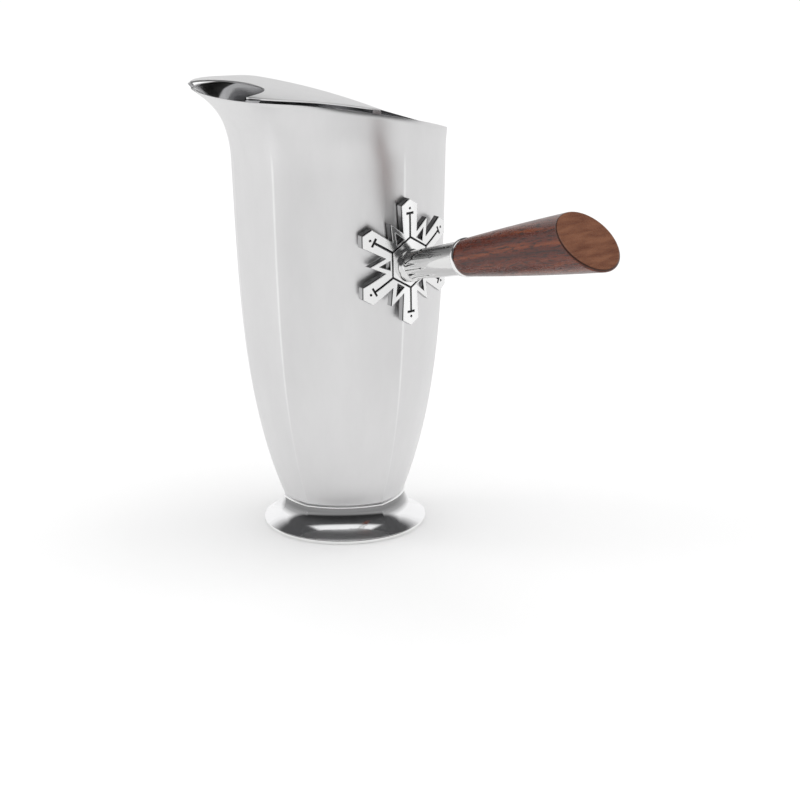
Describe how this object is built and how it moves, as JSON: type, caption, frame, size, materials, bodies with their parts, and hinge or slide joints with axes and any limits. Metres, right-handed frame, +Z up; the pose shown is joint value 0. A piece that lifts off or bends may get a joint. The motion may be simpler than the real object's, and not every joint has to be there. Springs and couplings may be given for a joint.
{
  "type": "cocktail pitcher",
  "caption": "Panelled metal cocktail pitcher with a broad spout, ice guard, flared foot and a straight wooden side handle on a snowflake mount.",
  "frame": {"origin": "middle of the foot's underside", "axes": "+Z up, spout along -Y, handle along +X"},
  "size_m": [0.2578, 0.1316, 0.2327],
  "materials": {
    "satin_silver": "satin",
    "polished_silver": "polished",
    "grip_wood": "oiled"
  },
  "bodies": {
    "root": {"body_shell": "satin_silver", "body_floor": "satin_silver", "ice_guard": "satin_silver", "neck_wire": "polished_silver", "foot": "polished_silver", "foot_ring": "polished_silver", "guard_lugs": "polished_silver", "snowflake": "polished_silver", "flake_seat": "polished_silver", "ferrule": "polished_silver", "ferrule_collar": "polished_silver", "grip_tang": "polished_silver", "wood_grip": "grip_wood"}
  },
  "joints": []
}
